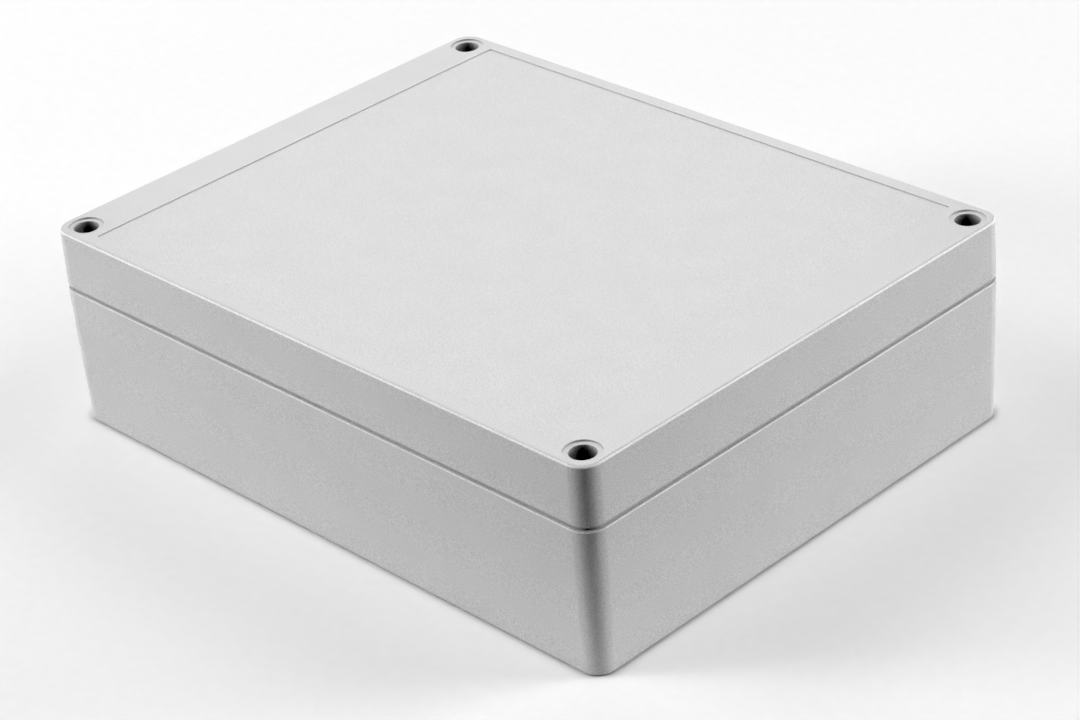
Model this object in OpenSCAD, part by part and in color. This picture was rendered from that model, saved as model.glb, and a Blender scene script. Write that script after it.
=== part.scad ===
// Sealed two-piece plastic enclosure: base, lid, gasket, threaded inserts and lid screws.
// Millimetres. X runs along the case, Y across it, Z up from the underside of the base.

/* [Case] */
// Outside length at the base's rim
case_length = 186; // [150:1:260]
// Outside width at the base's rim
case_width = 146; // [110:1:200]
// Height of the closed case
case_height = 55; // [48:1:90]
// Height of the lid's skirt above the parting line
lid_height = 15.4; // [14:0.2:20]
// Radius of the upright corners at the base's rim
corner_radius = 5.5; // [4:0.1:7]
// Thickness of the base's side walls
wall = 3; // [2.6:0.1:4]
// Thickness of the base's floor
floor_thickness = 3; // [2:0.1:5]
// Thickness of the lid's top plate
lid_thickness = 3; // [2:0.1:4]
// Mould draft of the outside walls, in degrees
draft_angle = 1; // [0.5:0.1:1.5]
// Step of the lid's lower edge in from the base's rim
lid_step = 0.1; // [0:0.05:0.3]

/* [Edges] */
// Fillet round the lid's upper edge
lid_top_fillet = 0.8; // [0.3:0.05:1.2]
// Fillet round the lid's lower edge
lid_rim_fillet = 0.35; // [0.2:0.05:0.6]
// Fillet round the base's upper edge
base_rim_fillet = 0.5; // [0.2:0.05:0.7]
// Fillet round the base's lower edge
base_foot_fillet = 0.15; // [0.1:0.05:0.6]
// Height of the relief under the base's lower edge
relief_height = 0.4; // [0.2:0.05:0.6]
// Width of that relief
relief_width = 1.5; // [1:0.1:2]
// Height of the shadow groove under the lid
shadow_height = 1; // [0.6:0.1:1.6]
// Depth of the shadow groove
shadow_depth = 0.8; // [0.4:0.05:1]
// Fillet round the mouths of the lid's field, rings and screw wells
mouth_fillet = 0.1; // [0.05:0.05:0.2]

/* [Lid field] */
// Depth of the flat field let into the lid
field_depth = 0.3; // [0.2:0.1:1]
// Margin from the field to the case's short ends
field_end_margin = 13.6; // [10:0.1:20]
// Margin from the field to the case's long sides
field_side_margin = 4.4; // [3:0.1:8]
// Radius of the field's corners
field_corner = 0.5; // [0.3:0.1:2]

/* [Lid screws] */
// Distance of each screw's axis from both outside walls
screw_inset = 6.5; // [6:0.1:8]
// Nominal diameter of the thread
thread_diameter = 4; // [3:0.5:4]
// Length of the screw under its head
screw_length = 20; // [16:1:24]
// Diameter of the screw's head
head_diameter = 5.8; // [5.6:0.1:6.2]
// Height of the screw's head
head_height = 2.8; // [2:0.1:3.5]
// Depth of the head's seat below the lid's top
seat_depth = 10; // [8:0.5:11]
// Diameter of the shallow ring round each screw well
ring_diameter = 8.9; // [8:0.1:9.6]
// Depth of that ring
ring_depth = 0.5; // [0.3:0.05:1]

/* [Threaded inserts] */
// Outside diameter of an insert
insert_diameter = 6; // [5.6:0.1:6.6]
// Length of an insert
insert_length = 9; // [6:0.5:12]
// Depth of the insert's top below the parting line
insert_sink = 0.5; // [0.2:0.1:1]

/* [Seal] */
// Width of the tongue on the base's rim
tongue_width = 1.2; // [1:0.1:1.4]
// Height of the tongue above the parting line
tongue_height = 2.5; // [1.5:0.1:3]
// Height of the gasket pressed by the tongue
gasket_height = 2; // [1:0.1:3]
// Width of the lip inside the gasket's groove
lip_width = 1.5; // [1.2:0.1:1.8]

/* [Wall fixing] */
// Distance from a lid screw to the fixing hole beside it
fixing_pitch = 11; // [10:0.1:14]
// Diameter of the fixing holes through the floor
fixing_hole = 4.5; // [3.5:0.1:5.5]
// Diameter of the well above each fixing hole
fixing_well = 8; // [7:0.1:8.6]
// Thickness of the floor under each fixing well
fixing_floor = 5; // [3:0.5:8]
// Material between the fixing well and the inside of the case
block_margin = 3.5; // [3.2:0.1:4.5]

/* [Inside] */
// Diameter of the board stand-offs
standoff_diameter = 7; // [6:0.5:9]
// Height of the stand-offs above the floor
standoff_height = 6; // [4:0.5:12]
// Pilot hole in each stand-off
standoff_hole = 2.8; // [2:0.1:3.5]
// Fillet round the foot of each stand-off
standoff_fillet = 0.8; // [0.4:0.1:1.5]
// Distance of the stand-offs from the inside walls
standoff_inset = 9; // [7:0.5:14]
// Spacing of the card guides
guide_pitch = 40; // [25:1:60]
// Width of a guide's slot
guide_slot = 2; // [1.6:0.1:3]
// Width of a guide's rib
guide_rib = 1.4; // [1:0.1:2]
// Depth of a guide's rib
guide_depth = 1.8; // [1:0.1:2.5]
// Distance from a guide's top to the parting line
guide_drop = 6; // [4:0.5:12]

/* [Hidden] */
$fn = 64;

// Clearances
tongue_clearance = 0.3;
gasket_clearance = 0.1;
head_clearance = 0.3;
shank_clearance = 0.5;
thread_clearance = 0.15;
thread_depth = 0.45;
insert_clearance = 0.05;
tip_clearance = 2;
overshoot = 1;

// Heights
parting_z = case_height - lid_height;
rim_z = parting_z - shadow_height;
seat_z = case_height - seat_depth;
gasket_z = parting_z + tongue_height;
insert_top_z = parting_z - insert_sink;
insert_base_z = insert_top_z - insert_length;
tip_z = seat_z - screw_length;

// The inside of the case: a cross-shaped cavity left by four corner blocks
cavity_end_x = case_length / 2 - wall;
cavity_side_y = case_width / 2 - wall;
notch_x = case_length / 2 - screw_inset - fixing_well / 2 - block_margin;
notch_y = case_width / 2 - screw_inset - fixing_pitch - fixing_well / 2 - block_margin;
cavity_corner = 3;
groove_outside = tongue_width + tongue_clearance;
groove_inside = tongue_clearance;
lip_inside = groove_inside + lip_width;

// Places that repeat
screw_x = case_length / 2 - screw_inset;
screw_y = case_width / 2 - screw_inset;
fixing_y = screw_y - fixing_pitch;
standoff_x = notch_x - standoff_inset;
standoff_y = cavity_side_y - standoff_inset;
guide_margin = standoff_inset + standoff_diameter / 2 + guide_slot;

plastic_colour = [0.74, 0.74, 0.74];

// Offset of a drafted wall from its corner's axis at height z, for a given offset where it is widest
function wall_offset(z, widest, z_widest, lean) = widest + (z - z_widest) * tan(lean);

// Centre of a fillet that touches a drafted wall
function fillet_centre(z, fillet, widest, z_widest, lean) =
    [wall_offset(z, widest, z_widest, lean) - fillet / cos(lean), z];

// Point where that fillet meets the wall
function fillet_end(centre, fillet, lean) =
    centre + fillet * [cos(lean), -sin(lean)];

// Places of a centred row of items that fits in a given length
function centred_row(span, pitch) =
    let (gaps = floor(span / pitch))
    [for (i = [0 : gaps]) (i - gaps / 2) * pitch];

// Half section of a drafted wall with a fillet at each edge; lean is positive if it widens upwards
module wall_profile(z_low, z_high, fillet_low, fillet_high, widest, z_widest, lean) {
    low = fillet_centre(z_low + fillet_low, fillet_low, widest, z_widest, lean);
    high = fillet_centre(z_high - fillet_high, fillet_high, widest, z_widest, lean);
    polygon([
        [0, z_low],
        [low.x, z_low],
        fillet_end(low, fillet_low, lean),
        fillet_end(high, fillet_high, lean),
        [high.x, z_high],
        [0, z_high]
    ]);
    translate(low) circle(fillet_low);
    translate(high) circle(fillet_high);
}

// Carries a half section round a rectangle, turning it about the axis of each rounded corner
module sweep_round(half_x, half_y, radius, z_low, z_high) {
    core_x = half_x - radius;
    core_y = half_y - radius;
    for (side = [0 : 3]) {
        out = side % 2 == 0 ? core_x : core_y;
        along = side % 2 == 0 ? core_y : core_x;
        rotate([0, 0, 90 * side]) {
            translate([out, along, 0])
                rotate_extrude(angle = 90) children();
            translate([out, 0, 0])
                rotate([90, 0, 0])
                    linear_extrude(2 * along, center = true) children();
        }
    }
    translate([-core_x, -core_y, z_low])
        cube([2 * core_x, 2 * core_y, z_high - z_low]);
}

module round_the_case(z_low, z_high) {
    sweep_round(case_length / 2, case_width / 2, corner_radius, z_low, z_high) children();
}

// Half section of a recess that widens in a fillet at its mouth
module recess_section(edge, z_low, z_mouth) {
    translate([0, z_low]) square([edge, z_mouth + overshoot - z_low]);
    difference() {
        translate([edge, z_mouth - mouth_fillet]) square([mouth_fillet, mouth_fillet + overshoot]);
        translate([edge + mouth_fillet, z_mouth - mouth_fillet]) circle(mouth_fillet);
    }
}

module round_rectangle(half_x, half_y, radius) {
    square([2 * half_x, 2 * (half_y - radius)], center = true);
    square([2 * (half_x - radius), 2 * half_y], center = true);
    for (sx = [-1, 1], sy = [-1, 1])
        translate([sx * (half_x - radius), sy * (half_y - radius)]) circle(radius);
}

// Outline of the cavity, moved outwards by grow along its whole length
module cavity_outline(grow) {
    side_x = notch_x + grow;
    end_y = notch_y + grow;
    inner_corner = cavity_corner - grow;
    round_rectangle(cavity_end_x + grow, end_y, cavity_corner + grow);
    round_rectangle(side_x, cavity_side_y + grow, cavity_corner + grow);
    for (sx = [-1, 1], sy = [-1, 1])
        translate([sx * (side_x + inner_corner / 2), sy * (end_y + inner_corner / 2)])
            difference() {
                square(inner_corner, center = true);
                translate([sx, sy] * inner_corner / 2) circle(inner_corner);
            }
}

// Ring that follows the cavity between two offsets of its outline
module seal_ring(outside, inside, height) {
    linear_extrude(height)
        difference() {
            cavity_outline(outside);
            cavity_outline(-inside);
        }
}

module at_screws() {
    for (sx = [-1, 1], sy = [-1, 1]) translate([sx * screw_x, sy * screw_y, 0]) children();
}

module at_fixings() {
    for (sx = [-1, 1], sy = [-1, 1]) translate([sx * screw_x, sy * fixing_y, 0]) children();
}

module at_standoffs() {
    for (sx = [-1, 1], sy = [-1, 1])
        translate([sx * standoff_x, sy * standoff_y, floor_thickness]) children();
}

// Two ribs that hold a card's edge, standing on the wall at y = 0 and facing +Y
module guide() {
    rib_top = parting_z - guide_drop;
    for (sx = [-1, 1])
        translate([sx * (guide_slot + guide_rib) / 2 - guide_rib / 2, -wall / 2, floor_thickness / 2])
            cube([guide_rib, guide_depth + wall / 2, rib_top - floor_thickness / 2]);
}

module card_guides() {
    for (side = [0, 1], x = centred_row(2 * (notch_x - guide_margin), guide_pitch))
        rotate([0, 0, 180 * side]) translate([x, -cavity_side_y, 0]) guide();
    for (side = [0, 1], x = centred_row(2 * (notch_y - guide_margin), guide_pitch))
        rotate([0, 0, 90 + 180 * side]) translate([x, -cavity_end_x, 0]) guide();
}

// Stand-off with a filleted foot that reaches into the floor
module standoff() {
    foot = standoff_diameter / 2 + standoff_fillet;
    rotate_extrude() {
        translate([0, -floor_thickness / 2])
            square([standoff_diameter / 2, standoff_height + floor_thickness / 2]);
        difference() {
            translate([0, -floor_thickness / 2]) square([foot, standoff_fillet + floor_thickness / 2]);
            translate([foot, standoff_fillet]) circle(standoff_fillet);
        }
    }
}

// Half section of the base's outside: the pad it stands on, its wall and the neck in the shadow groove
module base_profile() {
    pad = wall_offset(relief_height, corner_radius, rim_z, draft_angle) - relief_width;
    neck_low_z = rim_z - base_rim_fillet;
    square([pad, parting_z]);
    wall_profile(relief_height, rim_z, base_foot_fillet, base_rim_fillet,
        corner_radius, rim_z, draft_angle);
    translate([0, neck_low_z]) square([corner_radius - shadow_depth, parting_z - neck_low_z]);
}

module base_shell() {
    difference() {
        union() {
            round_the_case(0, parting_z) base_profile();
            linear_extrude(parting_z + tongue_height) cavity_outline(tongue_width);
        }
        translate([0, 0, floor_thickness])
            linear_extrude(case_height) cavity_outline(0);
    }
}

module base() {
    color(plastic_colour)
        difference() {
            union() {
                base_shell();
                card_guides();
                at_standoffs() standoff();
            }
            at_standoffs()
                cylinder(h = standoff_height + overshoot, d = standoff_hole);
            at_screws() {
                translate([0, 0, insert_base_z])
                    cylinder(h = case_height, d = insert_diameter + 2 * insert_clearance);
                translate([0, 0, tip_z - tip_clearance])
                    cylinder(h = case_height, d = thread_diameter + 2 * thread_clearance);
            }
            at_fixings() {
                translate([0, 0, -overshoot]) cylinder(h = case_height, d = fixing_hole);
                translate([0, 0, fixing_floor]) cylinder(h = case_height, d = fixing_well);
            }
        }
}

// Screw hole, well and ring in the lid, cut as one turned shape
module screw_well() {
    ring_z = case_height - ring_depth;
    rotate_extrude() {
        square([thread_diameter / 2 + shank_clearance, case_height]);
        recess_section(head_diameter / 2 + head_clearance, seat_z, ring_z);
        recess_section(ring_diameter / 2, ring_z, case_height);
    }
}

module lid_field() {
    field_z = case_height - field_depth;
    sweep_round(case_length / 2 - field_end_margin, case_width / 2 - field_side_margin,
        field_corner, field_z, case_height + overshoot)
        recess_section(field_corner, field_z, case_height);
}

module lid() {
    groove_depth = tongue_height + gasket_height;
    color(plastic_colour)
        difference() {
            round_the_case(parting_z, case_height)
                wall_profile(parting_z, case_height, lid_rim_fillet, lid_top_fillet,
                    corner_radius - lid_step, parting_z, -draft_angle);
            translate([0, 0, parting_z - overshoot]) {
                linear_extrude(lid_height - lid_thickness + overshoot) cavity_outline(-lip_inside);
                seal_ring(groove_outside, groove_inside, groove_depth + overshoot);
            }
            lid_field();
            at_screws() screw_well();
            at_fixings()
                translate([0, 0, parting_z - overshoot])
                    cylinder(h = lid_height - lid_thickness - field_depth + overshoot, d = fixing_well);
        }
}

module gasket() {
    color([0.16, 0.16, 0.17])
        translate([0, 0, gasket_z])
            seal_ring(groove_outside - gasket_clearance, groove_inside - gasket_clearance, gasket_height);
}

// Turned brass bush with a lead-in at its mouth and a groove that keys it into the plastic
module threaded_inserts() {
    outside = insert_diameter / 2;
    bore = thread_diameter / 2 + thread_clearance;
    lead_in = 0.4;
    key_depth = 0.4;
    key_height = insert_length / 5;
    color([0.78, 0.62, 0.31])
        at_screws()
            translate([0, 0, insert_base_z])
                rotate_extrude()
                    polygon([
                        [bore, 0],
                        [outside, 0],
                        [outside, 2 * key_height],
                        [outside - key_depth, 2 * key_height],
                        [outside - key_depth, 3 * key_height],
                        [outside, 3 * key_height],
                        [outside, insert_length],
                        [bore + lead_in, insert_length],
                        [bore, insert_length - lead_in]
                    ]);
}

// Cross recess for a driver, tapering down from the top of the screw's head
module driver_recess() {
    recess_depth = head_height * 0.6;
    cut_height = recess_depth + overshoot;
    tip_radius = head_diameter * 0.12;
    flare = 0.6;
    top_radius = tip_radius + flare * cut_height;
    wing_width = head_diameter * 0.15;
    translate([0, 0, head_height - recess_depth])
        intersection() {
            cylinder(h = cut_height, r1 = tip_radius, r2 = top_radius);
            for (turn = [0, 90])
                rotate([0, 0, turn]) translate([-top_radius, -wing_width / 2, 0])
                    cube([2 * top_radius, wing_width, cut_height]);
        }
}

// Cheese-head screw, its shank drawn at the thread's mean diameter
module lid_screws() {
    head = head_diameter / 2;
    shank = (thread_diameter - thread_depth) / 2;
    head_bevel = 0.4;
    tip_bevel = 0.8;
    color([0.66, 0.67, 0.68])
        at_screws()
            translate([0, 0, seat_z])
                difference() {
                    rotate_extrude()
                        polygon([
                            [0, -screw_length],
                            [shank - tip_bevel, -screw_length],
                            [shank, tip_bevel - screw_length],
                            [shank, 0],
                            [head, 0],
                            [head, head_height - head_bevel],
                            [head - head_bevel, head_height],
                            [0, head_height]
                        ]);
                    driver_recess();
                }
}

base();
lid();
gasket();
threaded_inserts();
lid_screws();
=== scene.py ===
"""Looks of the sealed plastic enclosure: its finishes, threads, floor, lights and camera.

Everything is in metres, in the part's own frame.
"""
import math

import bmesh
import bpy
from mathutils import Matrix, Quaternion, Vector


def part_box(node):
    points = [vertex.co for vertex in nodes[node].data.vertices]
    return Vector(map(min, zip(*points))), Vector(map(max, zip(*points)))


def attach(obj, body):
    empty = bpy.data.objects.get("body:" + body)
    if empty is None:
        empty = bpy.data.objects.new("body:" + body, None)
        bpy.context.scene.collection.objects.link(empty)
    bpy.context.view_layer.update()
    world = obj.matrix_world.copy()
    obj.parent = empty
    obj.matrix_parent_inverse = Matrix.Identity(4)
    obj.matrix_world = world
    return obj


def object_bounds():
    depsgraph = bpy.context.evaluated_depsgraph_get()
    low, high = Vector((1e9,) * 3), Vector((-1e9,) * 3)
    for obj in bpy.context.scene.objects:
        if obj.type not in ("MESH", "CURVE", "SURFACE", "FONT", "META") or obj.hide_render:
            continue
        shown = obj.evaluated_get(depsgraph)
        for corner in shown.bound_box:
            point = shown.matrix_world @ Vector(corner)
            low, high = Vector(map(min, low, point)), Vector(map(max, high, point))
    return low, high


MM = 0.001

# Sizes of the part that the frame's boxes don't give
HEAD_RADIUS = 2.9 * MM
WELL_RADIUS = 3.2 * MM
RING_DEPTH = 0.5 * MM
GROOVE_HEIGHT = 1.0 * MM

# Painted shade darkens the screw wells and the groove under the lid, and a painted highlight lightens the
# upper outside edges;
# the groove and those edges lie in the rim, which is the part's outer strip
RIM_WIDTH = 2.6 * MM
# Painted shade down the screw wells: its strength, how far past the well's wall it reaches and how deep it
# fades in
WELL_PAINTED_SHADE = 0.35
WELL_MARGIN = 0.16 * MM
WELL_FADE = 1.5 * MM
# Painted shade in the groove under the lid: its strength, and how far inside the groove's edges it stops
GROOVE_PAINTED_SHADE = 0.15
GROOVE_MARGIN = 0.02 * MM
# Painted highlight on the upper outside edges of the lid and the base
LID_PAINTED_HIGHLIGHT = 0.46
BASE_PAINTED_HIGHLIGHT = 0.36

# An edge is where the upright part of the surface's normal lies between these, fading at both ends
EDGE_FOOT = (0.2, 0.4)
EDGE_TOP = (0.68, 0.85)

# Most of a noise's values lie in this range; the noises' scales are in cells per metre
NOISE_RANGE = (0.3, 0.7)

# Moulded plastic
PLASTIC_TONE = 0.55
PLASTIC_ROUGHNESS = 0.25
MOTTLE = 0.015
MOTTLE_SCALE = 90
PATCHES = 0.08
PATCH_SCALE = 1500
SPECKLE = 0.12
GRAIN_SCALE = 4000
GRAIN_DEPTH = 0.03 * MM

# Rubber of the gasket
RUBBER_TONE = 0.055
RUBBER_MOTTLE = 0.2
RUBBER_MOTTLE_SCALE = 700
RUBBER_ROUGHNESS = (0.7, 0.85)
RUBBER_GRAIN_SCALE = 3500
RUBBER_GRAIN_DEPTH = 0.03 * MM

# Turned brass and steel
BRASS = (0.72, 0.53, 0.22)
STEEL = (0.5, 0.5, 0.49)
METAL_ROUGHNESS = 0.3
MARK_TONE = 0.08
MARK_ROUGHNESS = 0.25
MARK_SCALE = 9000
MARK_DEPTH = 0.004 * MM

# Threads of the screws and of their inserts
THREAD_PITCH = 0.7 * MM
TURN_STEPS = 24
PROFILE_POINTS = 4
ROOT_HALF = 0.3 * MM
CREST_HALF = 0.06 * MM
RUN_OUT = 0.05
SCREW_ROOT = 1.745 * MM
SCREW_CREST = 2.0 * MM
SCREW_TIP = 1.2 * MM
SCREW_THREAD = 13.0 * MM
INSERT_ROOT = 2.18 * MM
INSERT_CREST = 2.06 * MM
INSERT_FOOT = 0.4 * MM
INSERT_MOUTH = 0.8 * MM

# Floor: white paper in two sheets that meet in front of the part
PAPER_TONE = 0.772
PAPER_MOTTLE = 0.01
PAPER_MOTTLE_SCALE = 300
PAPER_ROUGHNESS = 0.9
FLOOR_REACH = 3.0
FRONT_EDGE = 0.165

# Distances of the lights from the part
SIDE_DISTANCE = 2.0
LAMP_DISTANCE = 8.0
PANEL_DISTANCE = 4.0
BACK_DISTANCE = 1.1

# Camera, as fitted to the photograph's edges, and the black level that gives the photograph's contrast
CAMERA_PLACE = Vector((0.4781, -0.4397, 0.3891))
CAMERA_AZIMUTH = math.radians(47.163)
CAMERA_ELEVATION = math.radians(29.904)
CAMERA_ROLL = math.radians(-4.909)
SENSOR_WIDTH = 36.0
LENS = 99.367
BLACK_LEVEL = 0.045

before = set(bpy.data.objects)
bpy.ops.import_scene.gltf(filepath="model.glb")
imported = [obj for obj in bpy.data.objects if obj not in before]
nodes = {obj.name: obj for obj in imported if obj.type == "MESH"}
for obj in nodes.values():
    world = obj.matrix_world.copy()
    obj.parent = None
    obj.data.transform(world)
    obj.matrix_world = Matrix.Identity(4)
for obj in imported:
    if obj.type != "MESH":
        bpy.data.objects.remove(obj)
cad_low, cad_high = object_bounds()
scene = bpy.context.scene

# Places of the part; the screws stand equally far in from all four walls
screws_low, screws_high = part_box("lid_screws")
inserts_low, inserts_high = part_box("threaded_inserts")
lid_low, lid_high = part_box("lid")
screw_x = screws_high.x - HEAD_RADIUS
screw_y = cad_high.y - (cad_high.x - screw_x)
well_top = lid_high.z - RING_DEPTH
groove_middle = lid_low.z - GROOVE_HEIGHT / 2
rim_x = cad_high.x - RIM_WIDTH
rim_y = cad_high.y - RIM_WIDTH


class Finish:
    """A material with short ways to add nodes to it; an input is a socket to link or a constant."""

    def __init__(self, name):
        self.material = bpy.data.materials.new(name)
        self.material.use_nodes = True
        self.tree = self.material.node_tree
        self.inputs = self.tree.nodes["Principled BSDF"].inputs
        self.place = self.node("ShaderNodeTexCoord", {}).outputs["Object"]

    def feed(self, socket, value):
        if isinstance(value, bpy.types.NodeSocket):
            self.tree.links.new(value, socket)
        else:
            socket.default_value = value

    def node(self, kind, inputs, **settings):
        made = self.tree.nodes.new(kind)
        for key, value in settings.items():
            setattr(made, key, value)
        for key, value in inputs.items():
            self.feed(made.inputs[key], value)
        return made

    def number(self, operation, *values):
        return self.node("ShaderNodeMath", dict(enumerate(values)), operation=operation).outputs["Value"]

    def vector(self, operation, *values):
        return self.node("ShaderNodeVectorMath", dict(enumerate(values)), operation=operation).outputs

    def split(self, source):
        return self.node("ShaderNodeSeparateXYZ", {"Vector": source}).outputs

    def noise(self, scale, detail):
        inputs = {"Vector": self.place, "Scale": scale, "Detail": detail}
        return self.node("ShaderNodeTexNoise", inputs).outputs["Fac"]

    def spread(self, source, start, end, low, high):
        """Maps the source's range from start to end onto low to high, and holds it there beyond."""
        ends = {"Value": source, "From Min": start, "From Max": end, "To Min": low, "To Max": high}
        return self.node("ShaderNodeMapRange", ends).outputs["Result"]

    def vary(self, noise, middle, share):
        """Moves a value up and down from its middle by a share of it, as the noise goes."""
        return self.spread(noise, *NOISE_RANGE, middle * (1 - share), middle * (1 + share))

    def colour(self, value):
        self.feed(self.inputs["Base Color"], value)

    def roughness(self, value):
        self.feed(self.inputs["Roughness"], value)

    def bump(self, height, depth):
        made = self.node("ShaderNodeBump", {"Height": height, "Strength": 1.0, "Distance": depth})
        self.feed(self.inputs["Normal"], made.outputs["Normal"])

    def height(self):
        return self.split(self.place)["Z"]

    def outside_of(self, x, y):
        """Vector from the upright lines at (x, y), the same in all four corners."""
        folded = self.vector("ABSOLUTE", self.place)["Vector"]
        return self.vector("SUBTRACT", folded, (x, y, 0))["Vector"]

    def axis_reach(self):
        """Distance from the nearest screw's axis."""
        flat = self.vector("MULTIPLY", self.outside_of(screw_x, screw_y), (1, 1, 0))["Vector"]
        return self.vector("LENGTH", flat)["Value"]


def on_rim(finish):
    """One in the part's outer strip, zero inside it."""
    reach = finish.split(finish.outside_of(rim_x, rim_y))
    return finish.number("GREATER_THAN", finish.number("MAXIMUM", reach["X"], reach["Y"]), 0.0)


def in_wells(finish):
    """Zero over most of the lid, rising to one down the four screw wells, where shade is painted into the
    colour.
    """
    inside = finish.number("LESS_THAN", finish.axis_reach(), WELL_RADIUS + WELL_MARGIN)
    depth = finish.spread(finish.height(), well_top, well_top - WELL_FADE, 0.0, 1.0)
    return finish.number("MULTIPLY", inside, depth)


def in_groove(finish):
    """Zero over most of the base, one in the groove under the lid, where shade is painted into the colour."""
    level = finish.number("COMPARE", finish.height(), groove_middle, GROOVE_HEIGHT / 2 - GROOVE_MARGIN)
    return finish.number("MULTIPLY", level, on_rim(finish))


def on_edges(finish):
    """Zero on flat faces, one on the outside edges that face up and out, where a highlight is painted into
    the colour.
    """
    upright = finish.split(finish.node("ShaderNodeNewGeometry", {}).outputs["Normal"])["Z"]
    above_wall = finish.spread(upright, *EDGE_FOOT, 0.0, 1.0)
    below_top = finish.spread(upright, *EDGE_TOP, 1.0, 0.0)
    return finish.number("MULTIPLY", finish.number("MULTIPLY", above_wall, below_top), on_rim(finish))


def plastic(name, hollow, painted_shade, painted_highlight):
    """Light grey plastic with a moulded grain, darker by painted shade in the hollow and lighter by a painted
    highlight on edges.
    """
    finish = Finish(name)
    grain = finish.noise(GRAIN_SCALE, detail=0.0)
    speckle = finish.vary(grain, 1.0, SPECKLE)
    mottle = finish.vary(finish.noise(MOTTLE_SCALE, detail=2.0), PLASTIC_TONE, MOTTLE)
    # Painted shade in the hollow and a painted highlight on the edges, both as factors on the tone
    shade_factor = finish.spread(hollow(finish), 0.0, 1.0, 1.0, 1.0 - painted_shade)
    highlight_factor = finish.spread(on_edges(finish), 0.0, 1.0, 1.0, 1.0 + painted_highlight)
    tone = finish.number("MULTIPLY", mottle, speckle)
    finish.colour(finish.number("MULTIPLY", finish.number("MULTIPLY", tone, shade_factor), highlight_factor))
    finish.roughness(finish.vary(finish.noise(PATCH_SCALE, detail=2.0), PLASTIC_ROUGHNESS, PATCHES))
    finish.bump(grain, GRAIN_DEPTH)
    return finish.material


def rubber(name):
    """Matte black rubber, faintly mottled and grained."""
    finish = Finish(name)
    grain = finish.noise(RUBBER_GRAIN_SCALE, detail=1.0)
    finish.colour(finish.vary(finish.noise(RUBBER_MOTTLE_SCALE, detail=3.0), RUBBER_TONE, RUBBER_MOTTLE))
    finish.roughness(finish.spread(grain, *NOISE_RANGE, *RUBBER_ROUGHNESS))
    finish.bump(grain, RUBBER_GRAIN_DEPTH)
    return finish.material


def turned(name, colour):
    """Metal with fine turning marks round each screw's axis."""
    finish = Finish(name)
    finish.inputs["Metallic"].default_value = 1.0
    along = finish.number("ADD", finish.axis_reach(), finish.height())
    inputs = {"W": along, "Scale": MARK_SCALE, "Detail": 2.0}
    marks = finish.node("ShaderNodeTexNoise", inputs, noise_dimensions="1D").outputs["Fac"]
    scaled = {"Vector": colour, "Scale": finish.vary(marks, 1.0, MARK_TONE)}
    finish.colour(finish.node("ShaderNodeVectorMath", scaled, operation="SCALE").outputs["Vector"])
    finish.roughness(finish.vary(marks, METAL_ROUGHNESS, MARK_ROUGHNESS))
    finish.bump(marks, MARK_DEPTH)
    return finish.material


def paper(name):
    """White matte paper, faintly mottled."""
    finish = Finish(name)
    finish.colour(finish.vary(finish.noise(PAPER_MOTTLE_SCALE, detail=2.0), PAPER_TONE, PAPER_MOTTLE))
    finish.roughness(PAPER_ROUGHNESS)
    return finish.material


def dress(node, finish):
    mesh = nodes[node].data
    mesh.materials.clear()
    mesh.materials.append(finish)


def add_object(name, data):
    made = bpy.data.objects.new(name, data)
    scene.collection.objects.link(made)
    return made


def direction(azimuth, elevation):
    """Unit vector from the part; azimuth 0 is towards -Y, and a quarter turn is towards +X."""
    flat = math.cos(elevation)
    return Vector((math.sin(azimuth) * flat, -math.cos(azimuth) * flat, math.sin(elevation)))


def aim(thing, place, towards, roll=0.0):
    """Puts a light or camera in its place, looking towards a direction and rolled round it."""
    thing.location = place
    thing.rotation_mode = "QUATERNION"
    thing.rotation_quaternion = towards.to_track_quat("-Z", "Y") @ Quaternion((0, 0, 1), roll)


def ridge(root, crest, low, high):
    """Points and faces of a right-hand thread round the Z axis, which runs out over its end turns."""
    steps = round((high - low) / THREAD_PITCH * TURN_STEPS)
    points, faces = [], []
    for step in range(steps + 1):
        turn = math.tau * step / TURN_STEPS
        z = low + THREAD_PITCH * step / TURN_STEPS
        rise = max(RUN_OUT, min(1.0, step / TURN_STEPS, (steps - step) / TURN_STEPS))
        tip = root + (crest - root) * rise
        for reach, up in ((root, -ROOT_HALF), (tip, -CREST_HALF), (tip, CREST_HALF), (root, ROOT_HALF)):
            points.append(Vector((reach * math.cos(turn), reach * math.sin(turn), z + up)))
    last = PROFILE_POINTS * steps
    for start in range(0, last, PROFILE_POINTS):
        end = start + PROFILE_POINTS
        for k in range(PROFILE_POINTS):
            after = (k + 1) % PROFILE_POINTS
            faces.append((start + k, start + after, end + after, end + k))
    caps = [tuple(range(PROFILE_POINTS)), tuple(range(last, last + PROFILE_POINTS))]
    return points, faces + caps


def threads(name, body, finish, root, crest, low, high):
    """The same thread on all four screw axes, as one piece."""
    ridge_points, ridge_faces = ridge(root, crest, low, high)
    points, faces = [], []
    for x in (-screw_x, screw_x):
        for y in (-screw_y, screw_y):
            start = len(points)
            points += [point + Vector((x, y, 0)) for point in ridge_points]
            faces += [tuple(start + k for k in face) for face in ridge_faces]
    mesh = bpy.data.meshes.new(name)
    mesh.from_pydata(points, [], faces)
    shape = bmesh.new()
    shape.from_mesh(mesh)
    bmesh.ops.recalc_face_normals(shape, faces=shape.faces)
    shape.to_mesh(mesh)
    shape.free()
    mesh.materials.append(finish)
    piece = add_object(name, mesh)
    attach(piece, body)


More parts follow.
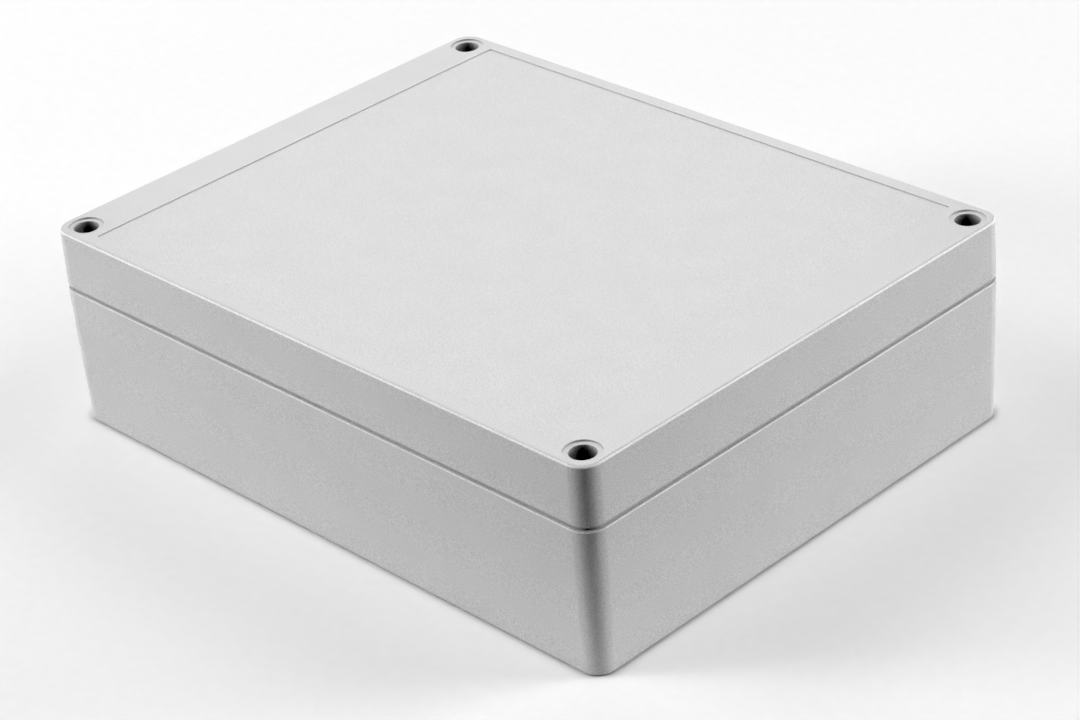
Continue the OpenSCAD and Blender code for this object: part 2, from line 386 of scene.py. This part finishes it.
def floor_sheet(name, near, far, finish):
    """A sheet on the ground from near to far, measured from the origin towards the camera."""
    towards = direction(CAMERA_AZIMUTH, 0.0)
    across = Vector((-towards.y, towards.x, 0)) * FLOOR_REACH
    corners = ((near, -1), (near, 1), (far, 1), (far, -1))
    points = [towards * reach + across * side for reach, side in corners]
    mesh = bpy.data.meshes.new(name)
    mesh.from_pydata(points, [], [(0, 1, 2, 3)])
    mesh.materials.append(finish)
    sheet = add_object(name, mesh)
    return sheet


def softbox(name, turn, rise, away, size, power, tone=True, gloss=True):
    """An area light aimed at the part, turned from the camera's azimuth and raised, both in degrees.

    Away is its distance, and size its width and height. Tone and gloss say which of the two it lights.
    """
    data = bpy.data.lights.new(name, "AREA")
    data.shape = "RECTANGLE"
    data.size, data.size_y = size
    data.energy = power
    lamp = add_object(name, data)
    back = direction(CAMERA_AZIMUTH + math.radians(turn), math.radians(rise))
    aim(lamp, back * away, -back)
    lamp.visible_diffuse = tone
    lamp.visible_glossy = gloss


def darken_world():
    world = bpy.data.worlds.new("studio")
    world.use_nodes = True
    world.node_tree.nodes["Background"].inputs["Strength"].default_value = 0.0
    scene.world = world


def set_contrast():
    scene.view_settings.view_transform = "Standard"
    scene.view_settings.use_curve_mapping = True
    curves = scene.view_settings.curve_mapping
    curves.black_level = (BLACK_LEVEL, BLACK_LEVEL, BLACK_LEVEL)
    curves.update()


def add_camera():
    lens = bpy.data.cameras.new("camera")
    lens.sensor_width = SENSOR_WIDTH
    lens.lens = LENS
    camera = add_object("camera", lens)
    aim(camera, CAMERA_PLACE, -direction(CAMERA_AZIMUTH, CAMERA_ELEVATION), CAMERA_ROLL)
    scene.camera = camera


brass = turned("insert_brass", BRASS)
steel = turned("screw_steel", STEEL)
# Base: painted shade in the groove; lid: painted shade down the wells; both: a painted highlight on their
# upper edges
dress("base", plastic("base_plastic", in_groove, GROOVE_PAINTED_SHADE, BASE_PAINTED_HIGHLIGHT))
dress("lid", plastic("lid_plastic", in_wells, WELL_PAINTED_SHADE, LID_PAINTED_HIGHLIGHT))
dress("gasket", rubber("gasket_rubber"))
dress("threaded_inserts", brass)
dress("lid_screws", steel)

screw_start = screws_low.z + SCREW_TIP
screw_end = screw_start + SCREW_THREAD
insert_start = inserts_low.z + INSERT_FOOT
insert_end = inserts_high.z - INSERT_MOUTH
threads("screw_threads", "lid", steel, SCREW_ROOT, SCREW_CREST, screw_start, screw_end)
threads("insert_threads", "base", brass, INSERT_ROOT, INSERT_CREST, insert_start, insert_end)

# The front sheet is seen, in the gloss too, but its bounced light doesn't reach the part
white = paper("floor_paper")
floor_sheet("floor", -FLOOR_REACH, FRONT_EDGE, white)
floor_sheet("floor_front", FRONT_EDGE, FLOOR_REACH, white).visible_diffuse = False

# Side boxes and overhead lamp without gloss, because their images would wash out the lid's top
softbox("left_low", turn=-92, rise=18, away=SIDE_DISTANCE, size=(0.58, 0.58), power=23.4, gloss=False)
softbox("left_high", turn=-94, rise=48, away=SIDE_DISTANCE, size=(1.2, 0.58), power=13.4, gloss=False)
softbox("right_low", turn=93, rise=8, away=SIDE_DISTANCE, size=(0.85, 0.85), power=34.2, gloss=False)
softbox("right_high", turn=87, rise=44, away=SIDE_DISTANCE, size=(0.85, 0.85), power=12.2, gloss=False)
softbox("overhead_lamp", turn=4.7, rise=89.3, away=LAMP_DISTANCE, size=(0.5, 0.5), power=272.0, gloss=False)

# A panel above for the gloss of the screws' heads, and one behind for the sheen of the lid's top
softbox("overhead_gloss", turn=0, rise=88, away=PANEL_DISTANCE, size=(2.0, 2.0), power=32.0, tone=False)
softbox("back_panel", turn=180, rise=34, away=BACK_DISTANCE, size=(0.6, 0.6), power=1.85)

darken_world()
set_contrast()
add_camera()
